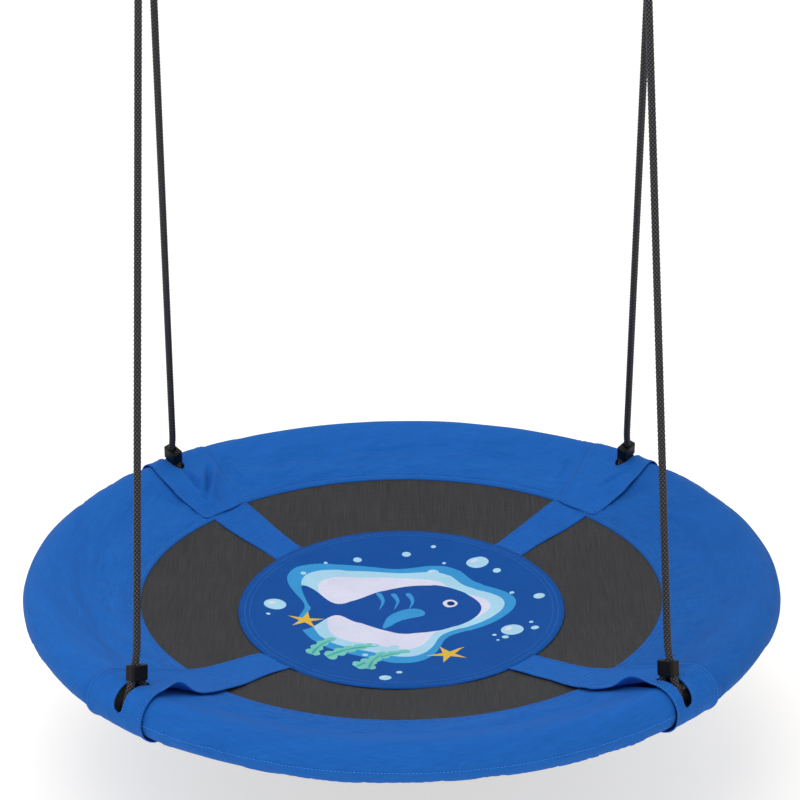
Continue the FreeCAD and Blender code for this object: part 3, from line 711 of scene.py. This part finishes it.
def add_cover(name, start, span):
    """Sleeve of cloth sewn round one part of the padded rim, with its fringe over the mat."""
    hem = HEM[name]
    level = dish(hem)
    outline, normals = rim_section((hem, level + 0.0013), (hem, level - 0.0013), SLEEVE - 0.0004, 0.0035)
    along = lengths_along(outline)
    whole = along[-1]
    face = 0.31 if name == "front" else -0.80
    seam = along[min(k for k in range(len(outline)) if outline[k][0] > RIM and normals[k][1] < face)]
    angles = np.linspace(start + 2.0, start + span - 2.0, int(span * 2.2))
    vertices, uvs = [], []
    lines = {"hem_a": [], "hem_b": [], "seam": []}
    seed = {"front": 3.1, "right": 11.7, "rear": 23.9, "left": 37.3}[name]
    for angle in angles:
        inside = min(angle - start, start + span - angle)
        press = 1 - smooth(6.0, 9.0, inside)
        row = []
        for (r, z), (nr, nz), s in zip(outline, normals, along):
            x = r * math.radians(angle)
            free = smooth(0.0, 0.02, s) * smooth(0.0, 0.02, whole - s)
            push = 0.0013 * rough(x * 7, s * 11, seed)
            push += 0.0026 * rough(x * 10, s * 60, seed + 5) * smooth(0.15, 0.03, s)
            near_hem = math.exp(-s / 0.018) + math.exp(-(whole - s) / 0.018)
            push += 0.0007 * rough(x * 75, s * 14, seed + 9) * near_hem * smooth(0, 0.006, s)
            push -= 0.0028 * math.sin(math.pi * min(s / 0.105, 1.0)) ** 2
            push += 0.0007 * math.exp(-((s - seam) / 0.0022) ** 2)
            push += 0.0006 * rough(x * 55, s * 20, seed + 2) * math.exp(-((s - seam) / 0.016) ** 2)
            push = push * free * (1 - press) - 0.0004 * press * free
            if r > 0.452:
                push = max(push, -0.0005)
            row.append((r + nr * push, z + nz * push))
            vertices.append(turned(row[-1][0], angle, row[-1][1]))
            uvs.append((x, s))
    rows, columns = len(angles), len(outline)
    item = make_object("sleeve_" + name, vertices, grid_faces(rows, columns, close_columns=True),
                       [cloth_sleeve[name]], uvs)
    tidy_normals(item)
    held = np.zeros((rows, columns), dtype=bool)
    held[:, (along < 0.014) | (along > whole - 0.014)] = True
    held[[min(a - start, start + span - a) < 7.0 for a in angles]] = True
    free_cloth = np.array([smooth(0.457, 0.405, r) for r in outline[:, 0]])
    places = settle(item, held.ravel(), np.tile(0.0016 + 0.0012 * free_cloth, rows),
                    np.tile(0.0004 + 0.0032 * free_cloth, rows))
    places = places.reshape(rows, columns, 3)
    for angle, row in zip(angles, places):
        for key, place in (("hem_a", 0.0045), ("hem_b", 0.0120), ("seam", seam + 0.0045)):
            nr, nz = (np.interp(place, along, normals[:, k]) for k in (0, 1))
            up = Vector(turned(nr, angle, nz + DROP))
            point = Vector([np.interp(place, along, row[:, k]) for k in range(3)])
            lines[key].append((point + up * 0.0003, up))
    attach(item, "seat")
    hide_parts("cover_" + name)
    seam_line = lines.pop("seam")
    hems = stitches("sleeve_stitches_" + name, list(lines.values()))
    row = stitches("sleeve_seam_" + name, [seam_line], width=0.00050, material=thread_pale)


for part, (first_angle, width_angle) in PARTS.items():
    add_cover(part, first_angle, width_angle)

# ------ corner flaps


# half widths of the flaps in mm, as (distance from the seat's axis, half width), on the free and sewn sides
FREE_EDGE = {
    "front_left": ((222, 26), (290, 27), (350, 34), (385, 42), (410, 41), (440, 36), (470, 35),
                   (500, 39)),
    "front_right": ((222, 25), (300, 27), (345, 36), (385, 43), (410, 38), (440, 29), (470, 20),
                    (500, 19)),
    "rear_right": ((350, 43), (370, 48), (410, 55), (450, 49), (500, 40)),
    "rear_left": ((350, 44), (370, 48), (410, 53), (450, 47), (500, 38))}
SEWN_EDGE = {
    "front_left": ((222, 30), (280, 33), (345, 38), (400, 50), (450, 60), (500, 64)),
    "front_right": ((222, 25), (290, 25), (345, 27), (400, 44), (450, 58), (500, 62)),
    "rear_right": ((350, 32), (380, 35), (420, 42), (460, 56), (500, 64)),
    "rear_left": ((350, 33), (380, 35), (420, 41), (460, 55), (500, 64))}
CREASES = {"rear_left": (((0.381, 0.018), (0.434, -0.033), 0.0105), ((0.383, 0.019), (0.446, 0.004), 0.0070)),
           "rear_right": (((0.395, -0.012), (0.452, -0.030), 0.0042),)}
# each flap's free side, the seed of its unevenness, and how far its free edge stands off
FLAP_FACTS = {"front_left": (1, 1.3, 0.0155), "front_right": (-1, 4.8, 0.0150),
              "rear_right": (-1, 9.2, 0.0030), "rear_left": (1, 15.6, 0.0022)}
# half the slit's width
SLIT = 0.0082
# how far the slit's outer end lies to one side, on corners whose flap sits askew
SLIT_LEAN = {"front_left": -0.0020, "front_right": 0.0020, "rear_right": 0.0, "rear_left": 0.0}
# distance from the seat's axis at which a front flap's tip is sewn down on the strap
ARM_SEAM = 0.332
# how far the strap's arm at a corner lies to one side, at the panel's edge
ARM_SHIFT = {"front_left": -0.012, "front_right": 0.0, "rear_right": 0.007, "rear_left": 0.0}


def add_flap(name):
    """Flap that laps the corner, with a slit where the rope's loop comes through."""
    angle = CORNERS[name]
    front = name.startswith("front")
    free_side, seed, pucker = FLAP_FACTS[name]
    up = leg_frame(name)[3]
    tip = 0.338 if front else 0.3505
    low = dish(HEM["left"]) - 0.0040
    outline, normals = rim_section((tip, dish(tip) + 0.0030), (tip, low), FLAP_TOP, 0.0030)
    keep = [k for k in range(len(outline)) if outline[k][0] > FLAP_UNDER or normals[k][1] > 0]
    outline, normals = outline[keep], normals[keep]
    if front:
        reach = np.arange(0.222, tip, 0.0035)
        inner = np.array([(r, dish(r) + 0.0015 + 0.0006 * smooth(0.222, 0.24, r)
                           + 0.0009 * smooth(0.30, tip, r)) for r in reach])
        slope = np.array([(-r / MAT_CURVE, 1.0) for r in reach])
        outline, normals = np.vstack([inner, outline]), np.vstack([slope, normals])
    along = lengths_along(outline)
    whole = along[-1]
    tip_at = along[np.argmin(abs(outline[:, 0] - tip) + (normals[:, 1] < 0) * 9)]
    fold = 0.441 if front else 0.418
    shoulder_at = along[np.argmin(abs(outline[:, 0] - fold) + (normals[:, 1] < 0) * 9)]
    outermost = along[np.argmax(outline[:, 0])]

    def half_width(r, s, side):
        """The free side is narrow on the rim and spreads towards the mat, the sewn side the other way."""
        place = min(r, 0.5) if s < outermost else 0.5
        shape = (FREE_EDGE if side == free_side else SEWN_EDGE)[name]
        return float(np.interp(place * 1000, *zip(*shape))) / 1000

    # the slit lies in the plane of the rope's loop
    outward, along_rim = up.dot(polar(1, angle)), up.dot(polar(1, angle + 90))
    middles = [along_rim * max((r - RIM) * outward + z * up.z, 0.0) for r, z in outline]
    shoulder = [k for k in range(len(outline)) if outline[k][0] - RIM > -0.029 and normals[k][1] > 0.12]
    slit_from, slit_to = along[shoulder[0]], along[shoulder[-1]]

    middles = [m + SLIT_LEAN[name] * smooth(slit_from, slit_to, s) for m, s in zip(middles, along)]

    def opening(s):
        t = (2 * s - slit_from - slit_to) / (slit_to - slit_from)
        return SLIT * max(1 - abs(t) ** 7, 0.0) ** 0.5

    def lift_at(r, s, lateral, t, side, rim_share, gap, middle):
        lift = 0.0007 * rough(s * 26, lateral * 40, seed)
        if front and s < outermost:
            lift += 0.0009 * smooth(ARM_SEAM - 0.0030, ARM_SEAM, r) * smooth(0.40, 0.37, r)
        if side == free_side:
            spread = 0.021 if front else 0.019
            lift += pucker * math.exp(-((s - shoulder_at) / spread) ** 2) * t ** (2.0 if front else 3.0)
            lift += 0.0018 * t ** 6 * rim_share * (0.8 + 0.4 * rough(s * 30, seed, 0))
        else:
            lift += (0.0017 if front else -0.0009) * smooth(0.84, 1.0, t) * rim_share
        if gap > 0.0005:
            lift += 0.0010 * math.exp(-((abs(lateral - middle) - gap) / 0.010) ** 2) * smooth(0.0, 0.005, gap)
        if s < outermost:
            for (ra, la), (rb, lb), depth in CREASES.get(name, ()):
                span = (rb - ra, lb - la)
                share = ((r - ra) * span[0] + (lateral - la) * span[1]) / (span[0] ** 2 + span[1] ** 2)
                share = min(max(share, 0.0), 1.0)
                off = math.hypot(r - ra - span[0] * share, lateral - la - span[1] * share)
                fade = math.sin(math.pi * (0.12 + 0.80 * share))
                lift += depth * fade * (1.2 * math.exp(-(off / 0.013) ** 2)
                                        - 1.5 * math.exp(-(off / 0.0042) ** 2))
        return max(lift, -0.0010)

    half = 20
    vertices, uvs, faces = [], [], []
    lines = {"free": [], "free_b": [], "sewn_a": [], "sewn_b": [], "slit_l": [], "slit_r": []}
    places = {"free": (free_side, 0.93), "free_b": (free_side, 0.84),
              "sewn_a": (-free_side, 0.945), "sewn_b": (-free_side, 0.86)}
    grid = {}
    c, q = math.cos(math.radians(angle)), math.sin(math.radians(angle))
    for i, ((r, z), (nr, nz), s) in enumerate(zip(outline, normals, along)):
        gap, middle = opening(s), middles[i] * smooth(0.0, 0.02, s - slit_from + 0.02)
        rim_share = smooth(0.01, 0.05, s - tip_at)
        for side in (-1, 1):
            edge = half_width(r, s, side)
            for j in range(half + 1):
                t = j / half
                lateral = side * edge * t + middle * (1 - t) ** 2 + side * gap * (1 - t) ** 1.6
                if front:
                    lateral += ARM_SHIFT[name] * smooth(0.37, 0.24, r)
                lift = lift_at(r, s, lateral, t, side, rim_share, gap, middle)
                if not front:
                    lateral *= 1 - 0.10 * t * max(1 - s / 0.009, 0.0) ** 2
                    hem_step = 0.0075 if side != free_side else 0.0015
                    r = outline[i][0] + hem_step * t ** 2 * smooth(0.035, 0.0, s)
                rr, zz = r + nr * lift, z + nz * lift
                flat = Vector((rr, lateral, zz))
                if r < RIM and nz > 0:
                    sag = dish(min(math.hypot(rr, lateral), 0.36)) - dish(min(rr, 0.36))
                    flat.z += sag * smooth(0.36, 0.34, rr)
                curved = Vector((rr * math.cos(lateral / rr), rr * math.sin(lateral / rr), zz))
                point = flat.lerp(curved, smooth(0.02, 0.10, s - tip_at) if front else 1.0)
                grid[i, side, j] = len(vertices)
                vertices.append((point.x * c - point.y * q, point.x * q + point.y * c, point.z - DROP))
                uvs.append((lateral, s))
        normal = Vector((nr * c, nr * q, nz))
        if s < whole - 0.004:
            for key, (side, t) in places.items():
                first, share = int(t * half), t * half % 1
                a, b = (Vector(vertices[grid[i, side, k]]) for k in (first, min(first + 1, half)))
                lines[key].append((a.lerp(b, share) + normal * 0.0008, normal))
        if slit_from - 0.004 < s < slit_to + 0.004:
            for key, side in (("slit_l", -1), ("slit_r", 1)):
                lines[key].append((Vector(vertices[grid[i, side, 1]]) + normal * 0.0008, normal))
    if front:
        for place in (ARM_SEAM + 0.0035, ARM_SEAM + 0.0120):
            i = int(np.argmin(abs(outline[:, 0] - place) + 9 * (normals[:, 1] < 0)))
            normal = Vector((normals[i][0] * c, normals[i][0] * q, normals[i][1]))
            across = [grid[i, -1, j] for j in range(half - 2, 0, -1)]
            across += [grid[i, 1, j] for j in range(half - 1)]
            lines["seam_%.4f" % place] = [(Vector(vertices[k]) + normal * 0.0008, normal) for k in across]
    for i in range(len(outline) - 1):
        for side in (-1, 1):
            for j in range(half):
                quad = (grid[i, side, j], grid[i, side, j + 1],
                        grid[i + 1, side, j + 1], grid[i + 1, side, j])
                faces.append(quad if side > 0 else quad[::-1])
    item = make_object("corner_flap_" + name, vertices, faces, [cloth_blue], uvs)
    tidy_normals(item)
    thicken(item, 0.0012)
    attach(item, "seat")
    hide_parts("flap_" + name)
    sewn = stitches("flap_stitches_" + name, list(lines.values()), pitch=0.0042, length=0.0029)


for corner in CORNERS:
    add_flap(corner)

# ------ mat, straps and printed panel


def ridge(x, y):
    """How much the crossing straps stand over the mat at a place."""
    total = 0.0
    for turn in (CORNER, -CORNER):
        t = math.radians(turn)
        off = abs(-x * math.sin(t) + y * math.cos(t))
        total += 0.0011 * (1 - smooth(STRAP - 0.002, STRAP + 0.006, off))
    return min(total, 0.0019)


def add_mat():
    """Woven mat, stretched inside the rim and sewn between the sleeves' hems."""
    rings, spokes = 62, 200
    vertices, faces, uvs = [(0, 0, dish(0) - 0.0008 - DROP)], [], [(0, 0)]
    for k in range(1, rings + 1):
        radius = (MAT_EDGE - 0.0015) * k / rings
        for m in range(spokes):
            turn = 2 * math.pi * m / spokes
            x, y = radius * math.cos(turn), radius * math.sin(turn)
            sink = 0.0012 * rough(x * 8, y * 8, 2.0) * smooth(1.0, 0.85, k / rings) - 0.0010
            vertices.append((x, y, dish(radius) + min(sink, 0.0) - 0.0003 - DROP))
            uvs.append((x, y))
    for m in range(spokes):
        faces.append((0, 1 + m, 1 + (m + 1) % spokes))
    faces += grid_faces(rings, spokes, close_columns=True, start=1)
    item = make_object("seat_mesh", vertices, faces, [mesh_grey], uvs)
    thicken(item, 0.0010, -1.0)
    tidy_normals(item)
    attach(item, "seat")
    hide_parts("seat_mat")


def add_strap(name, angle, over, corners):
    """Folded strap across the mat, sewn along both edges."""
    rear_end = 0.353
    reach = np.linspace(-0.345 if corners[0].startswith("rear") else -rear_end,
                        rear_end if corners[0].startswith("rear") else 0.345, 173)
    turn = math.radians(angle)
    vertices, uvs = [], []
    lines = [[], [], [], []]
    for r in reach:
        up = (0, 0, 1)
        row = []
        corner = corners[0 if r > 0 else 1]
        shift = ARM_SHIFT[corner] * (1 if r > 0 else -1)
        shift *= smooth(0.0, 0.20, abs(r)) * smooth(0.37, 0.24, abs(r))
        wide = STRAP - 0.003 if corner.startswith("front") else STRAP + 0.008 * smooth(0.235, 0.345, abs(r))
        for k in range(15):
            t = k / 7 - 1
            waver = 0.0006 * rough(r * 16, angle, 1.0)
            lateral = t * wide + waver + shift
            x = r * math.cos(turn) - lateral * math.sin(turn)
            y = r * math.sin(turn) + lateral * math.cos(turn)
            step = 0.0012 * (1 - smooth(0.026, 0.034, abs(r))) if over else 0.0
            roll = -0.0005 * max(abs(t) - 0.9, 0) * 10 + 0.0004 * rough(x * 30, y * 30, 4.0)
            z = dish(math.hypot(r, lateral)) + 0.0008 + step + roll
            row.append((x, y, z - DROP))
            uvs.append((lateral, r))
        vertices += row
        for line, column in zip(lines, (1, 2, 12, 13)):
            line.append((Vector(row[column]) + Vector((0, 0, 0.0007)), up))
    item = make_object(name + "_band", vertices, grid_faces(len(reach), 15), [cloth_strap], uvs)
    tidy_normals(item)
    thicken(item, 0.0010)
    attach(item, "seat")
    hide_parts(name)
    sewn = stitches(name + "_stitches", lines, pitch=0.0042, length=0.0029)


def closed_line(points, per=8):
    """Smooth closed outline through a few corner points."""
    points = np.asarray(points, dtype=float)
    count = len(points)
    out = []
    for k in range(count):
        a, b, c, d = (points[(k + m) % count] for m in (-1, 0, 1, 2))
        for m in range(per):
            t = m / per
            out.append(0.5 * (2 * b + (c - a) * t + (2 * a - 5 * b + 4 * c - d) * t * t
                              + (3 * b - a - 3 * c + d) * t ** 3))
    return [tuple(p) for p in out]


def ring_line(x, y, rx, ry=None, count=28, turn=0.0):
    ry = rx if ry is None else ry
    c, s = math.cos(math.radians(turn)), math.sin(math.radians(turn))
    out = []
    for k in range(count):
        t = 2 * math.pi * k / count
        u, v = rx * math.cos(t), ry * math.sin(t)
        out.append((x + u * c - v * s, y + u * s + v * c))
    return out


def star_line(x, y, size, turn):
    points = []
    for k in range(10):
        radius = size if k % 2 == 0 else size * 0.30
        t = math.radians(turn + 36 * k)
        points.append((x + radius * math.cos(t), y + radius * math.sin(t)))
    out = []
    for k in range(10):
        (ax, ay), (bx, by) = points[k], points[(k + 1) % 10]
        for m in range(4):
            out.append((ax + (bx - ax) * m / 4, ay + (by - ay) * m / 4))
    return out


def weed_line(x, y, length, width, turn, lobes):
    """Upright frond with rounded lobes on both sides."""
    side = []
    for k in range(lobes * 6 + 1):
        t = k / (lobes * 6)
        reach = width * (1 - 0.55 * t) * (0.55 + 0.45 * abs(math.sin(math.pi * t * lobes)))
        bend = 0.12 * length * math.sin(2.6 * t)
        side.append((t * length, bend, reach))
    left = [(a, b + w) for a, b, w in side]
    right = [(a, b - w) for a, b, w in side][::-1]
    c, s = math.cos(math.radians(turn)), math.sin(math.radians(turn))
    return [(x + (a * c - b * s), y + (a * s + b * c)) for a, b in left + right]


def blob_line(scale, phase, shift):
    """Wavy pool outline of the printed picture."""
    out = []
    for k in range(180):
        t = 2 * math.pi * k / 180
        radius = 1 + 0.13 * math.sin(3 * t + 0.7 + phase) + 0.09 * math.sin(5 * t + 2.1 - phase) \
            + 0.03 * math.sin(8 * t + phase)
        out.append((shift[0] + 0.142 * scale * radius * math.cos(t),
                    shift[1] + 0.138 * scale * radius * math.sin(t)))
    return out


def picture():
    """The printed picture: our own plain sea pattern, each outline with its ink."""
    layers = [("sky", blob_line(1.0, 0.0, (-0.012, 0.012))),
              ("pale", blob_line(0.88, 0.12, (-0.010, 0.012))),
              ("white", blob_line(0.74, 0.30, (-0.008, 0.012)))]
    fish = closed_line([(98, 10), (80, 38), (40, 56), (-8, 50), (-52, 26), (-74, 22), (-98, 46),
                        (-112, 50), (-104, 20), (-100, 10), (-106, -4), (-116, -34), (-100, -30),
                        (-72, -2), (-46, -14), (-4, -34), (42, -34), (82, -16)])
    layers.append(("navy", [(x * 0.00116 - 0.006, y * 0.0015) for x, y in fish]))
    layers.append(("sky", closed_line([(0.030, -0.004), (0.002, -0.016), (-0.024, -0.040), (-0.018, -0.008),
                                       (0.004, 0.014), (0.026, 0.014)])))
    for x in (-0.034, -0.014, 0.006):
        layers.append(("sky", closed_line([(x, 0.060), (x + 0.007, 0.038), (x + 0.004, 0.014),
                                           (x + 0.0115, 0.038), (x + 0.007, 0.061)], 6)))
    layers.append(("white", ring_line(0.066, 0.030, 0.0100)))
    layers.append(("deep", ring_line(0.067, 0.030, 0.0054)))
    for x, y, size, turn in ((-0.128, -0.020, 0.026, 12), (0.060, -0.122, 0.028, 40)):
        layers.append(("yellow", star_line(x, y, size, turn)))
    for x, y, length, width, turn, lobes in ((-0.118, -0.128, 0.062, 0.012, 58, 4),
                                             (-0.098, -0.132, 0.080, 0.013, 30, 5),
                                             (-0.060, -0.160, 0.088, 0.014, 34, 6),
                                             (-0.044, -0.166, 0.060, 0.011, 66, 4)):
        layers.append(("mint", weed_line(x, y, length, width, turn, lobes)))
        layers.append(("teal", weed_line(x + 0.001, y + 0.001, length * 0.86, width * 0.22, turn, 2)))
    for x, y, size in ((-170, 20, 15), (106, 138, 15.5), (146, -58, 15), (-178, -10, 3), (-60, 152, 6),
                       (8, 168, 6.2), (46, 186, 3.6), (60, 142, 2.8), (44, 118, 8.5), (132, 112, 5.6),
                       (150, 50, 3.4), (186, 32, 7.8), (176, -58, 5.5), (172, -40, 3), (136, -78, 4.5),
                       (122, -70, 3), (126, -86, 2.2), (-10, -96, 7), (-36, -88, 4), (-48, -120, 4),
                       (-22, -196, 8), (-4, -178, 4.2), (-134, 110, 4), (-104, 140, 2.8)):
        x, y, size = x / 1000, y / 1000, size / 1000
        layers.append(("pale", ring_line(x, y, size, count=max(16, int(size * 2400)))))
        if size > 0.007:
            layers.append(("white", ring_line(x - size * 0.30, y + size * 0.30, size * 0.38, size * 0.26,
                                              16, 40)))
    return layers


def panel_height(x, y):
    """Height of the padded panel, puckered along its seam."""
    radius = math.hypot(x, y)
    turn = math.atan2(y, x)
    share = math.hypot(x / PANEL_X, y / PANEL_Y)
    inside = (1 - share) * 0.225
    swell = 0.0016 * smooth(0.0, 0.016, inside) - 0.0005 * math.exp(-((inside - 0.0085) / 0.0022) ** 2)
    pucker = 0.0006 * rough(math.cos(turn) * 16, math.sin(turn) * 16, 7.0) * math.exp(-inside / 0.020)
    wave = 0.0011 * rough(x * 9, y * 9, 5.0) + 0.0005 * rough(x * 24, y * 24, 6.0)
    low = 0.0012 + swell + (pucker + wave) * smooth(0.0, 0.01, inside)
    return dish(radius) + low + ridge(x, y) - DROP


def add_panel():
    """Printed centre panel in one piece, its faces inked by the picture's outlines."""
    layers = [("ground", ring_line(0, 0, PANEL_X, PANEL_Y, 240))] + picture()
    points, loops = [], []
    for _, outline in layers:
        ring = outline + outline[:1]
        if sum(a[0] * b[1] - b[0] * a[1] for a, b in zip(ring, ring[1:])) < 0:
            outline = outline[::-1]
        loops.append(list(range(len(points), len(points) + len(outline))))
        points += [Vector(p) for p in outline]
    step = 0.0055
    for row in range(-44, 45):
        for column in range(-44, 45):
            x, y = (column + 0.5 * (row % 2)) * step, row * step * 0.9
            if math.hypot(x / PANEL_X, y / PANEL_Y) < 0.985:
                points.append(Vector((x, y)))
    flat, _, triangles, _, _, sources = delaunay_2d_cdt(points, [], loops, 1, 1e-6)
    names = list(inks)
    picks = [names.index(layers[max(source)][0]) if source else 0 for source in sources]
    vertices = [(p.x, p.y, panel_height(p.x, p.y)) for p in flat]
    item = make_object("printed_panel", vertices, triangles, [inks[n] for n in names],
                       [(p.x, p.y) for p in flat], picks)
    thicken(item, 0.0011, -1.0)
    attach(item, "seat")
    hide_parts("centre_panel")
    lines = []
    for share in (0.962, 0.930):
        ring = ring_line(0, 0, PANEL_X * share, PANEL_Y * share, 360)
        lines.append([((x, y, panel_height(x, y) + 0.0001), (0, 0, 1)) for x, y in ring + ring[:1]])
    sewn = stitches("panel_stitches", lines, pitch=0.0042, length=0.0029)


add_mat()
add_strap("strap_under", CORNER, False, ("rear_right", "front_left"))
add_strap("strap_over", -CORNER, True, ("front_right", "rear_left"))
add_panel()

# ------ knurled sleeves of the snap hooks


def add_sleeve(side):
    """Screw sleeve with a diamond knurl between two plain rims."""
    low, high = (Vector(p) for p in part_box("hook_sleeve_" + side))
    along = Vector((0.139785, 0, 0.990182))
    out = Vector((along.z, 0, -along.x))
    across = Vector((0, 1, 0))
    middle = (low + high) / 2
    length, radius, bore = 0.0138, 0.0056, 0.0041
    rows = [(-0.5, bore), (-0.5, radius - 0.0006), (-0.46, radius)]
    rows += [(-0.40 + 0.80 * k / 40, None) for k in range(41)]
    rows += [(0.46, radius), (0.5, radius - 0.0006), (0.5, bore)]
    count = 120
    vertices = []
    for place, fixed in rows:
        for k in range(count):
            turn = 2 * math.pi * k / count
            reach = fixed
            if fixed is None:
                first = math.sin(20 * turn + place * length * 3100)
                second = math.sin(20 * turn - place * length * 3100)
                reach = radius - 0.00022 + 0.00022 * min(first + 0.6, second + 0.6, 0.8)
            point = middle + along * (place * length)
            point += out * (reach * math.cos(turn)) + across * (reach * math.sin(turn))
            vertices.append(point)
    faces = grid_faces(len(rows), count, close_rows=True, close_columns=True)
    item = make_object("knurled_sleeve_" + side, vertices, faces, [bright_steel])
    tidy_normals(item)
    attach(item, "sleeve_" + side)
    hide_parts("hook_sleeve_" + side)


for side_name in ("left", "right"):
    add_sleeve(side_name)

# ------ studio


def add_area(name, place, target, size, power):
    data = bpy.data.lights.new(name, "AREA")
    data.shape = "RECTANGLE"
    data.size, data.size_y = size
    data.energy = power
    light = bpy.data.objects.new(name, data)
    scene.collection.objects.link(light)
    light.location = place
    light.rotation_euler = (Vector(target) - Vector(place)).to_track_quat("-Z", "Y").to_euler()


def add_stage():
    nodes = Nodes("studio_floor", Roughness=0.9, Base_Color=(0.62, 0.60, 0.56, 1))
    nodes.shader.inputs["Emission Color"].default_value = (1, 0.992, 0.972, 1)
    nodes.shader.inputs["Emission Strength"].default_value = 0.55
    mesh = bpy.data.meshes.new("studio_floor")
    reach = 14.0
    level = -DROP - 0.27
    mesh.from_pydata([(-reach, -reach, level), (reach, -reach, level), (reach, reach, level),
                      (-reach, reach, level)], [], [(0, 1, 2, 3)])
    mesh.materials.append(nodes.material)
    floor = bpy.data.objects.new("studio_floor", mesh)
    scene.collection.objects.link(floor)
    world = bpy.data.worlds.new("studio")
    world.use_nodes = True
    world.node_tree.nodes["Background"].inputs["Color"].default_value = (1, 1, 1, 1)
    world.node_tree.nodes["Background"].inputs["Strength"].default_value = 0.72
    scene.world = world
    add_area("key", (-0.7, -2.0, 2.7), (0, 0, -1.1), (2.8, 2.8), 62)
    add_area("top", (-0.5, 1.2, 3.0), (0, 0, -1.1), (3.0, 3.0), 24)
    scene.view_settings.view_transform = "Standard"
    scene.view_settings.look = "None"


add_stage()
